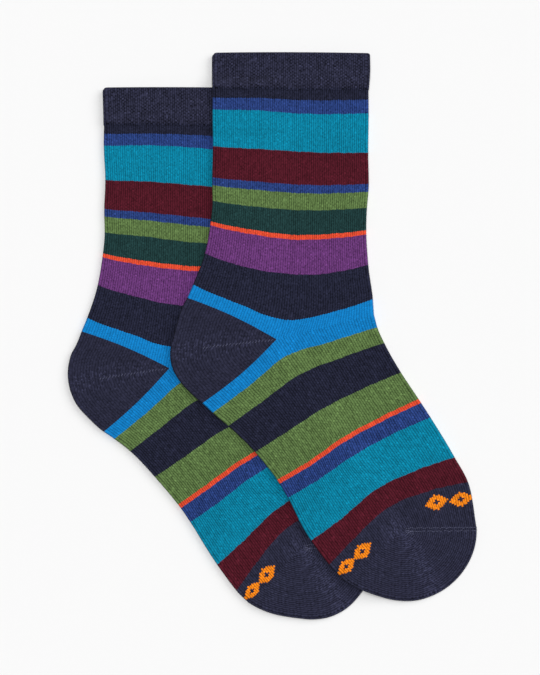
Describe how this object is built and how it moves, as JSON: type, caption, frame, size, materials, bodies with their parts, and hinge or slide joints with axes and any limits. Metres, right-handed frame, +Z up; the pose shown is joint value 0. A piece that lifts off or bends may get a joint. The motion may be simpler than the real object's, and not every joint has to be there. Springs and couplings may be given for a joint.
{
  "type": "pair of child's striped crew socks",
  "caption": "Child's crew socks as a pair laid flat, one partly over the other, each a hollow knitted tube with a turned welt, heel pocket and toe pocket.",
  "frame": {"origin": "middle of the pair's footprint, on the surface that it lies on", "axes": "+X across the pair, from the under sock's heel to the top sock's toe; +Y from the toes to the cuffs; +Z up from the surface"},
  "size_m": [0.1875, 0.2608, 0.0102],
  "materials": {
    "cuff_rib": "matt elastic mock-rib knit in dark navy, turned double",
    "striped_knit": "matt fine-gauge jersey knit in bands of blue, teal, burgundy, green, dark green, purple, navy and azure with a fine orange line",
    "plain_knit": "matt fine-gauge jersey knit in dark navy, slightly denser, with short-row gores"
  },
  "bodies": {
    "root": {"under_sock_cuff": "cuff_rib", "under_sock_leg": "striped_knit", "under_sock_heel": "plain_knit", "under_sock_foot": "striped_knit", "under_sock_toe": "plain_knit", "top_sock_cuff": "cuff_rib", "top_sock_leg": "striped_knit", "top_sock_heel": "plain_knit", "top_sock_foot": "striped_knit", "top_sock_toe": "plain_knit"}
  },
  "joints": []
}
